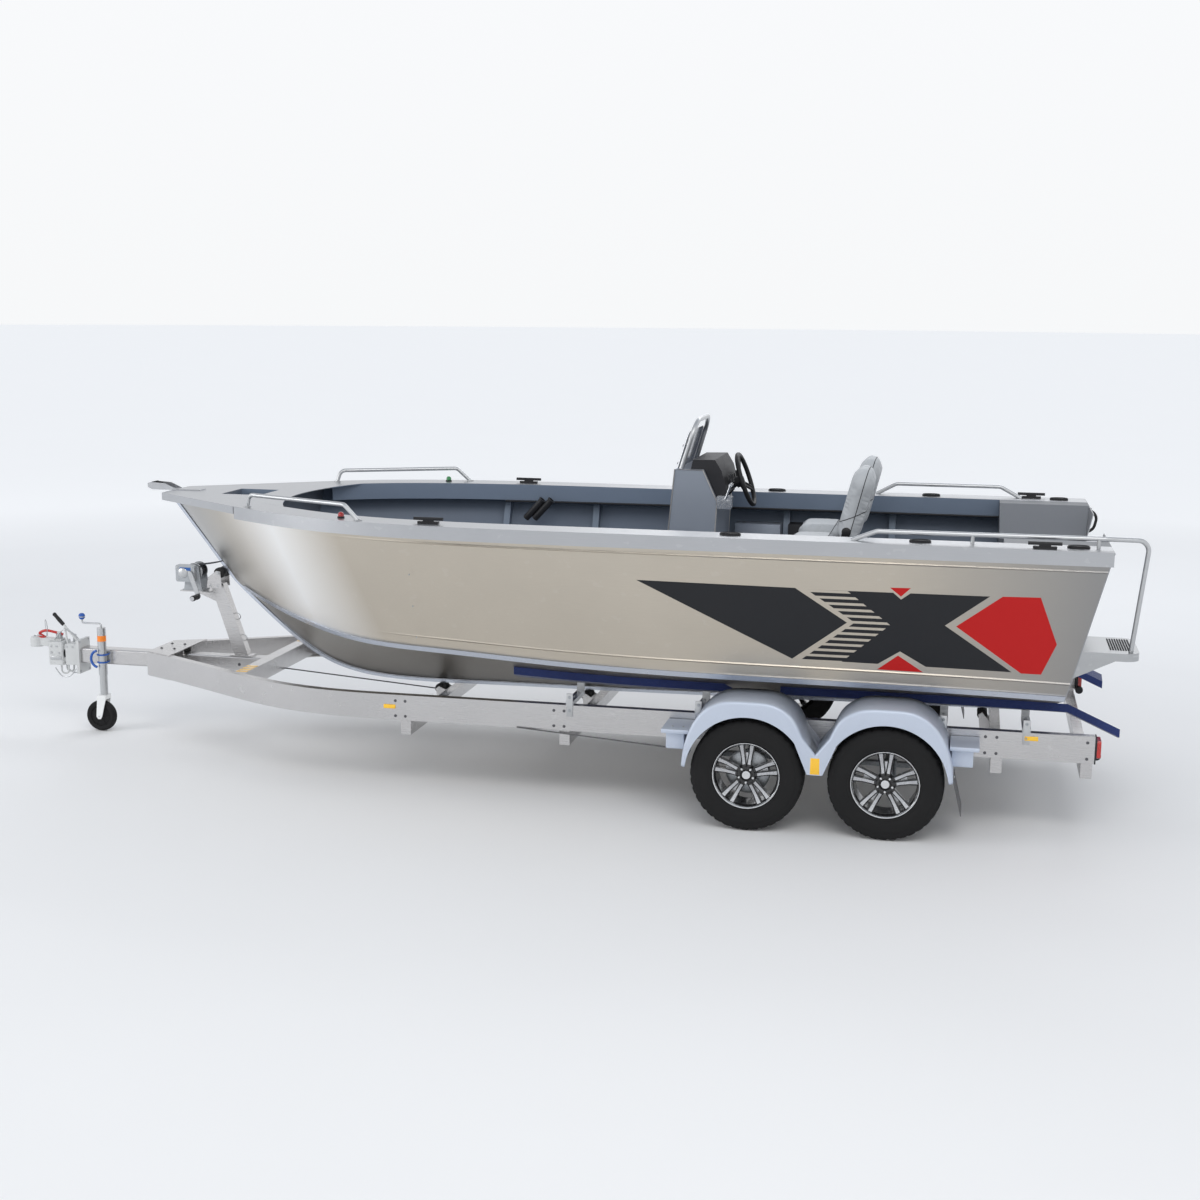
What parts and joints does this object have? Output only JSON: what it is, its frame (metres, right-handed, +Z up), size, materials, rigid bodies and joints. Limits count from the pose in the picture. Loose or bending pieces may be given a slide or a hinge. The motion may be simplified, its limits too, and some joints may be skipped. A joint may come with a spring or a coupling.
{
  "type": "side console boat on a trailer",
  "caption": "Open aluminium side console boat with swivel seats, boarding step and anchor well, held on a road trailer with jockey stand, winch post and ball coupling.",
  "frame": {"origin": "middle of the whole object's box, on the ground", "axes": "+X to the bow and the trailer's coupling, +Y to port, +Z up"},
  "size_m": [7.0102, 2.479, 2.1203],
  "materials": {
    "hull_side_alu": "brushed, with pale and dark reflections and a charcoal and red stripe pattern",
    "hull_bottom_alu": "satin rolled plate",
    "strip_alu": "satin extrusion",
    "deck_alu": "brushed folded sheet",
    "interior_paint": "low gloss blue-grey",
    "floor_paint": "non-slip grit in blue-grey paint",
    "stern_paint": "dark grey with pale sloping panels",
    "console_paint": "low gloss blue-grey",
    "black_moulding": "fine grain",
    "wheel_grip": "soft grain",
    "throttle_box": "silver enamel",
    "screen_tint": "dark tinted clear sheet",
    "rail_alu": "polished tube",
    "seat_vinyl": "light grey marine vinyl with dark piping",
    "seat_shell": "textured",
    "pedestal_alu": "satin tube",
    "fitting_black": "smooth",
    "nav_lens": "clear red and green lenses",
    "platform_alu": "grooved dark grip top with a bright edge",
    "hose_rubber": "smooth",
    "trailer_alu": "bright extrusion",
    "galvanised": "spangled zinc",
    "coupling_paint": "pale grey castings",
    "jockey_zinc": "bright zinc",
    "fork_white": "smooth",
    "jockey_rubber": "dull",
    "winch_paint": "grey enamel",
    "winch_zinc": "bright zinc",
    "roller_rubber": "dull",
    "bunk_carpet": "navy carpet",
    "guard_paint": "light blue-grey",
    "lamp_red": "ribbed red lens",
    "flap_rubber": "dull",
    "cable_jacket": "dull",
    "tyre": "ribbed tread, dull sidewall",
    "rim_paint": "black with machined spoke faces"
  },
  "bodies": {
    "boat": {"hull_bottom": "hull_bottom_alu", "hull_side_port": "hull_side_alu", "hull_side_starboard": "hull_side_alu", "transom": "hull_bottom_alu", "keel_and_chine_strips": "strip_alu", "side_decks": "deck_alu", "foredeck": "deck_alu", "bowsprit": "deck_alu", "front_deck": "interior_paint", "cockpit_floor": "floor_paint", "side_frames": "interior_paint", "stern_deck": "stern_paint", "console": "console_paint", "dash": "black_moulding", "windscreen": "screen_tint", "windscreen_hoop": "rail_alu", "throttle": "throttle_box", "seat_pedestals": "pedestal_alu", "bow_rails": "rail_alu", "stern_rails": "rail_alu", "deck_fittings": "fitting_black", "nav_lights": "nav_lens", "boarding_platform": "platform_alu", "rigging_hose": "hose_rubber", "side_beams": "trailer_alu", "cross_members": "trailer_alu", "drawbar": "trailer_alu", "coupling": "coupling_paint", "jockey_tube": "jockey_zinc", "winch_post": "trailer_alu", "winch": "winch_paint", "rollers": "roller_rubber", "bunks": "bunk_carpet", "bunk_posts": "galvanised", "mudguards": "guard_paint", "axles": "galvanised", "mud_flaps": "flap_rubber", "tail_lamps": "lamp_red", "brake_cables": "cable_jacket"},
    "wheel_front_port": {"tyre_front_port": "tyre", "rim_front_port": "rim_paint"},
    "wheel_front_starboard": {"tyre_front_starboard": "tyre", "rim_front_starboard": "rim_paint"},
    "wheel_rear_port": {"tyre_rear_port": "tyre", "rim_rear_port": "rim_paint"},
    "wheel_rear_starboard": {"tyre_rear_starboard": "tyre", "rim_rear_starboard": "rim_paint"},
    "helm_seat": {"helm_seat_base": "seat_shell", "helm_cushion": "seat_vinyl"},
    "helm_back": {"helm_backrest": "seat_vinyl"},
    "mate_seat": {"mate_seat_base": "seat_shell", "mate_cushion": "seat_vinyl"},
    "mate_back": {"mate_backrest": "seat_vinyl"},
    "helm_wheel": {"steering_wheel": "wheel_grip"},
    "hatch": {"front_hatch": "interior_paint"},
    "jockey_leg": {"jockey_stem": "jockey_zinc"},
    "jockey_castor": {"jockey_fork": "fork_white"},
    "jockey_roll": {"jockey_wheel": "jockey_rubber"},
    "winch_reel": {"winch_drum": "winch_zinc"}
  },
  "joints": [
    {"name": "wheel_front_port_spin", "type": "hinge", "parent": "boat", "child": "wheel_front_port", "pos_m": [-1.47284, 1.12, 0.31], "axis": [0, 1, 0], "continuous": true},
    {"name": "wheel_front_starboard_spin", "type": "hinge", "parent": "boat", "child": "wheel_front_starboard", "pos_m": [-1.47284, -1.12, 0.31], "axis": [0, 1, 0], "continuous": true},
    {"name": "wheel_rear_port_spin", "type": "hinge", "parent": "boat", "child": "wheel_rear_port", "pos_m": [-2.21784, 1.12, 0.31], "axis": [0, 1, 0], "continuous": true},
    {"name": "wheel_rear_starboard_spin", "type": "hinge", "parent": "boat", "child": "wheel_rear_starboard", "pos_m": [-2.21784, -1.12, 0.31], "axis": [0, 1, 0], "continuous": true},
    {"name": "helm_seat_swivel", "type": "hinge", "parent": "boat", "child": "helm_seat", "pos_m": [-1.74284, -0.6, 1.34], "axis": [0, 0, 1], "continuous": true},
    {"name": "helm_back_fold", "type": "hinge", "parent": "helm_seat", "child": "helm_back", "pos_m": [-1.89784, -0.6, 1.5253], "axis": [0, 1, 0], "range_deg": [0, 98]},
    {"name": "mate_seat_swivel", "type": "hinge", "parent": "boat", "child": "mate_seat", "pos_m": [-1.74284, 0.03, 1.34], "axis": [0, 0, 1], "continuous": true},
    {"name": "mate_back_fold", "type": "hinge", "parent": "mate_seat", "child": "mate_back", "pos_m": [-1.89784, 0.03, 1.5253], "axis": [0, 1, 0], "range_deg": [0, 98]},
    {"name": "steering_turn", "type": "hinge", "parent": "boat", "child": "helm_wheel", "pos_m": [-1.19484, -0.615, 1.722], "axis": [-0.9455, 0, 0.3256], "range_deg": [-630, 630]},
    {"name": "hatch_lift", "type": "hinge", "parent": "boat", "child": "hatch", "pos_m": [1.12216, 0, 1.13], "axis": [0, 1, 0], "range_deg": [0, 100]},
    {"name": "jockey_screw", "type": "slide", "parent": "boat", "child": "jockey_leg", "axis": [0, 0, 1], "range_m": [0, 0.11]},
    {"name": "jockey_swivel", "type": "hinge", "parent": "jockey_leg", "child": "jockey_castor", "pos_m": [2.93716, 0.09, 0.24], "axis": [0, 0, 1], "continuous": true},
    {"name": "jockey_wheel_spin", "type": "hinge", "parent": "jockey_castor", "child": "jockey_roll", "pos_m": [2.96216, 0.09, 0.1025], "axis": [0, 1, 0], "continuous": true},
    {"name": "winch_turn", "type": "hinge", "parent": "boat", "child": "winch_reel", "pos_m": [2.28457, 0, 1.0875], "axis": [0, 1, 0], "continuous": true}
  ]
}
